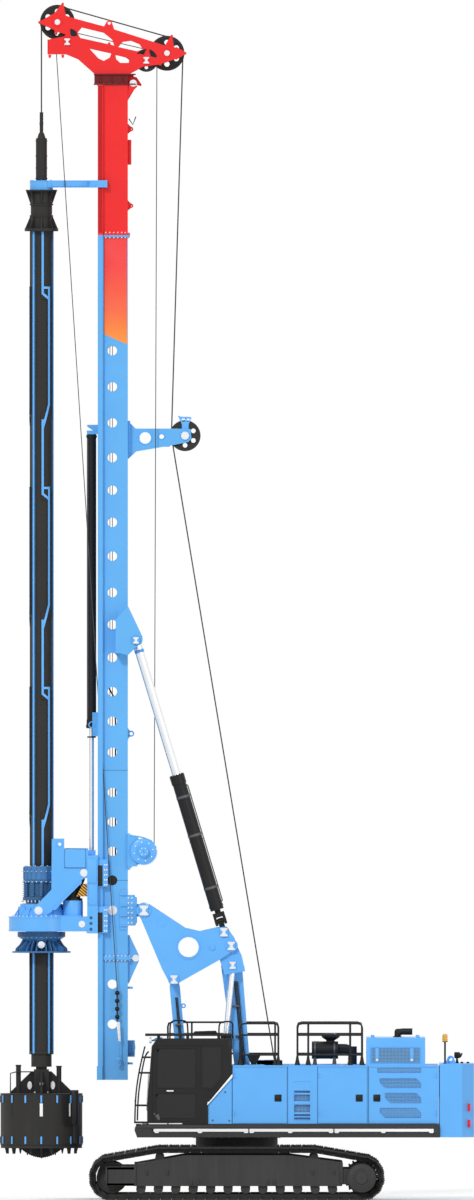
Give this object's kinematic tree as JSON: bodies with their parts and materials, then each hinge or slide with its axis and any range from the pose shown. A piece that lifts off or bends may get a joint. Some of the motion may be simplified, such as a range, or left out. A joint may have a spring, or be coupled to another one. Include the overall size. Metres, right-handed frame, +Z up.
{
  "type": "rotary piling rig",
  "caption": "Crawler-mounted rotary piling rig with upright mast, luffing arms, rotary head, kelly bar and drilling bucket, standing in working position.",
  "frame": {"origin": "slew axis on the ground, at the bottom centre of the whole rig", "axes": "+Z up, -X towards the front where the kelly bar hangs, -Y on the cab side"},
  "size_m": [9.48, 4.4, 23.95],
  "materials": {
    "blue": "gloss light blue paint",
    "red": "gloss red paint",
    "dark_grey": "satin dark grey paint",
    "black": "satin black paint",
    "steel": "bare dark steel",
    "chrome": "hard chrome",
    "glass": "tinted glass",
    "plastic": "seat and console plastic",
    "amber": "amber lens on a black pole"
  },
  "bodies": {
    "undercarriage": {"car_body": "dark_grey"},
    "track_side_left": {"track_left": "steel", "track_frame_left": "dark_grey"},
    "track_side_right": {"track_right": "steel", "track_frame_right": "dark_grey"},
    "upper_structure": {"deck": "dark_grey", "engine_house": "blue", "hood": "blue", "engine": "steel", "counterweight": "blue", "cab_shell": "black", "cab_glass": "glass", "cab_interior": "plastic", "handrails": "black", "intake_and_exhaust": "black", "beacon": "amber", "catwalk_left": "dark_grey", "catwalk_right": "dark_grey"},
    "cab_door": {"cab_door": "black"},
    "house_door_left_front": {"door_left_front": "blue"},
    "house_door_left_middle": {"door_left_middle": "blue"},
    "house_door_left_rear": {"door_left_rear": "blue"},
    "house_door_right_front": {"door_right_front": "blue"},
    "house_door_right_rear": {"door_right_rear": "blue"},
    "main_winch": {"main_winch_drum": "steel"},
    "boom": {"boom": "blue"},
    "front_link": {"front_link": "blue"},
    "triangle": {"triangle": "blue"},
    "luff_barrels": {"luff_barrels": "black"},
    "luff_rods": {"luff_rods": "chrome"},
    "swivel_bracket": {"swivel_bracket": "blue"},
    "stay_foot_left": {"stay_foot_left": "black"},
    "stay_barrel_left": {"stay_barrel_left": "black"},
    "stay_rod_left": {"stay_rod_left": "chrome"},
    "stay_foot_right": {"stay_foot_right": "black"},
    "stay_barrel_right": {"stay_barrel_right": "black"},
    "stay_rod_right": {"stay_rod_right": "chrome"},
    "mast": {"mast_lower": "blue", "mast_middle": "blue", "mast_upper": "red", "mast_head_frame": "red", "crowd_barrel": "black"},
    "service_winch": {"service_winch_drum": "steel"},
    "main_sheave_front": {"main_sheave_front": "steel"},
    "main_sheave_rear": {"main_sheave_rear": "steel"},
    "service_sheave_front": {"service_sheave_front": "steel"},
    "service_sheave_rear": {"service_sheave_rear": "steel"},
    "guide_sheave": {"guide_sheave": "steel"},
    "rotary_head": {"rotary_frame": "blue", "rotary_motors": "black", "crowd_rod": "chrome"},
    "drive_sleeve": {"drive_sleeve": "steel"},
    "kelly_guide": {"kelly_guide": "blue"},
    "outer_kelly": {"outer_kelly": "dark_grey"},
    "inner_kelly": {"inner_kelly": "steel", "bucket": "dark_grey"},
    "bucket_base": {"bucket_base": "steel"}
  },
  "joints": [
    {"name": "slew", "type": "hinge", "parent": "undercarriage", "child": "upper_structure", "pos_m": [0, 0, 1.17], "axis": [0, 0, 1], "continuous": true},
    {"name": "track_left_extend", "type": "slide", "parent": "undercarriage", "child": "track_side_left", "axis": [0, -1, 0], "range_m": [-0.5, 0]},
    {"name": "track_right_extend", "type": "slide", "parent": "undercarriage", "child": "track_side_right", "axis": [0, 1, 0], "range_m": [-0.5, 0]},
    {"name": "cab_door_hinge", "type": "hinge", "parent": "upper_structure", "child": "cab_door", "pos_m": [-0.744, -1.64, 2.33], "axis": [0, 0, 1], "range_deg": [0, 100]},
    {"name": "door_left_front_hinge", "type": "hinge", "parent": "upper_structure", "child": "house_door_left_front", "pos_m": [-0.05, -1.6, 2.1], "axis": [0, 0, -1], "range_deg": [0, 90]},
    {"name": "door_left_middle_hinge", "type": "hinge", "parent": "upper_structure", "child": "house_door_left_middle", "pos_m": [1.63, -1.6, 2.1], "axis": [0, 0, -1], "range_deg": [0, 90]},
    {"name": "door_left_rear_hinge", "type": "hinge", "parent": "upper_structure", "child": "house_door_left_rear", "pos_m": [3.99, -1.6, 2.1], "axis": [0, 0, 1], "range_deg": [0, 90]},
    {"name": "door_right_front_hinge", "type": "hinge", "parent": "upper_structure", "child": "house_door_right_front", "pos_m": [-1.45, 1.6, 2.1], "axis": [0, 0, 1], "range_deg": [0, 90]},
    {"name": "door_right_rear_hinge", "type": "hinge", "parent": "upper_structure", "child": "house_door_right_rear", "pos_m": [3.99, 1.6, 2.1], "axis": [0, 0, -1], "range_deg": [0, 90]},
    {"name": "main_winch_turn", "type": "hinge", "parent": "upper_structure", "child": "main_winch", "pos_m": [0.6, 0, 2], "axis": [0, 1, 0], "continuous": true},
    {"name": "boom_luff", "type": "hinge", "parent": "upper_structure", "child": "boom", "pos_m": [0.14965, 0, 2.28102], "axis": [0, -1, 0], "range_deg": [0, 70]},
    {"name": "front_link_turn", "type": "hinge", "parent": "upper_structure", "child": "front_link", "pos_m": [-0.99435, 0, 1.61002], "axis": [0, -1, 0], "range_deg": [0, 70]},
    {"name": "triangle_turn", "type": "hinge", "parent": "boom", "child": "triangle", "pos_m": [-0.11, 0, 5.08], "axis": [0, -1, 0], "range_deg": [-70, 0]},
    {"name": "luff_barrels_turn", "type": "hinge", "parent": "upper_structure", "child": "luff_barrels", "pos_m": [-0.37, 0, 1.63], "axis": [0, -1, 0], "range_deg": [0, 61]},
    {"name": "luff_rods_stroke", "type": "slide", "parent": "luff_barrels", "child": "luff_rods", "axis": [0.094, 0, 0.9956], "range_m": [-0.865, 0]},
    {"name": "mast_tilt", "type": "hinge", "parent": "triangle", "child": "swivel_bracket", "pos_m": [-1.855, 0, 5.79], "axis": [0, 1, 0], "range_deg": [-5, 90]},
    {"name": "mast_side_tilt", "type": "hinge", "parent": "swivel_bracket", "child": "mast", "pos_m": [-1.855, 0, 5.79], "axis": [1, 0, 0], "range_deg": [-3, 3]},
    {"name": "stay_foot_left_turn", "type": "hinge", "parent": "triangle", "child": "stay_foot_left", "pos_m": [-0.256, -0.4, 5.354], "axis": [0, 1, 0], "range_deg": [-5.6, 98]},
    {"name": "stay_barrel_left_sway", "type": "hinge", "parent": "stay_foot_left", "child": "stay_barrel_left", "pos_m": [-0.32236, -0.4, 5.57422], "axis": [0.9575, 0, 0.2885], "range_deg": [-2.8, 2.8]},
    {"name": "stay_rod_left_stroke", "type": "slide", "parent": "stay_barrel_left", "child": "stay_rod_left", "axis": [-0.2885, 0, 0.9575], "range_m": [-2.26, 0.13]},
    {"name": "stay_foot_right_turn", "type": "hinge", "parent": "triangle", "child": "stay_foot_right", "pos_m": [-0.256, 0.4, 5.354], "axis": [0, 1, 0], "range_deg": [-5.6, 98]},
    {"name": "stay_barrel_right_sway", "type": "hinge", "parent": "stay_foot_right", "child": "stay_barrel_right", "pos_m": [-0.32236, 0.4, 5.57422], "axis": [0.9575, 0, 0.2885], "range_deg": [-2.8, 2.8]},
    {"name": "stay_rod_right_stroke", "type": "slide", "parent": "stay_barrel_right", "child": "stay_rod_right", "axis": [-0.2885, 0, 0.9575], "range_m": [-2.26, 0.13]},
    {"name": "service_winch_turn", "type": "hinge", "parent": "mast", "child": "service_winch", "pos_m": [-1.862, -0.2, 6.968], "axis": [0, 1, 0], "continuous": true},
    {"name": "main_sheave_front_turn", "type": "hinge", "parent": "mast", "child": "main_sheave_front", "pos_m": [-3.586, 0, 23.55], "axis": [0, 1, 0], "continuous": true},
    {"name": "main_sheave_rear_turn", "type": "hinge", "parent": "mast", "child": "main_sheave_rear", "pos_m": [-1.396, 0, 22.93], "axis": [0, 1, 0], "continuous": true},
    {"name": "service_sheave_front_turn", "type": "hinge", "parent": "mast", "child": "service_sheave_front", "pos_m": [-3.39, -0.2, 23.158], "axis": [0, 1, 0], "continuous": true},
    {"name": "service_sheave_rear_turn", "type": "hinge", "parent": "mast", "child": "service_sheave_rear", "pos_m": [-1.808, -0.2, 22.786], "axis": [0, 1, 0], "continuous": true},
    {"name": "guide_sheave_turn", "type": "hinge", "parent": "mast", "child": "guide_sheave", "pos_m": [-1.034, 0, 15.282], "axis": [0, 1, 0], "continuous": true},
    {"name": "crowd", "type": "slide", "parent": "mast", "child": "rotary_head", "axis": [0, 0, 1], "range_m": [-2.2, 2.2]},
    {"name": "sleeve_turn", "type": "hinge", "parent": "rotary_head", "child": "drive_sleeve", "pos_m": [-3.906, 0, 5.8], "axis": [0, 0, 1], "continuous": true},
    {"name": "kelly_hoist", "type": "slide", "parent": "mast", "child": "kelly_guide", "axis": [0, 0, 1], "range_m": [-12, 1.2]},
    {"name": "kelly_turn", "type": "hinge", "parent": "kelly_guide", "child": "outer_kelly", "pos_m": [-3.906, 0, 20.2], "axis": [0, 0, 1], "continuous": true},
    {"name": "kelly_extend", "type": "slide", "parent": "outer_kelly", "child": "inner_kelly", "axis": [0, 0, 1], "range_m": [-13.5, 0]},
    {"name": "bucket_bottom_hinge", "type": "hinge", "parent": "inner_kelly", "child": "bucket_base", "pos_m": [-3.068, 0, 1.068], "axis": [0, -1, 0], "range_deg": [0, 60]}
  ],
  "couplings": [
    {"joint": "front_link_turn", "follows": "boom_luff", "ratio": 1},
    {"joint": "triangle_turn", "follows": "boom_luff", "ratio": -1},
    {"joint": "luff_barrels_turn", "follows": "boom_luff", "ratio": 0.86845},
    {"joint": "luff_rods_stroke", "follows": "boom_luff", "m_per_rad": -0.70285},
    {"joint": "stay_foot_left_turn", "follows": "mast_tilt", "ratio": 1.0874},
    {"joint": "stay_barrel_left_sway", "follows": "mast_side_tilt", "ratio": 0.9206},
    {"joint": "stay_rod_left_stroke", "follows": "mast_tilt", "m_per_rad": -1.431},
    {"joint": "stay_foot_right_turn", "follows": "mast_tilt", "ratio": 1.0874},
    {"joint": "stay_barrel_right_sway", "follows": "mast_side_tilt", "ratio": 0.9206},
    {"joint": "stay_rod_right_stroke", "follows": "mast_tilt", "m_per_rad": -1.431},
    {"joint": "sleeve_turn", "follows": "kelly_turn", "ratio": 1}
  ]
}
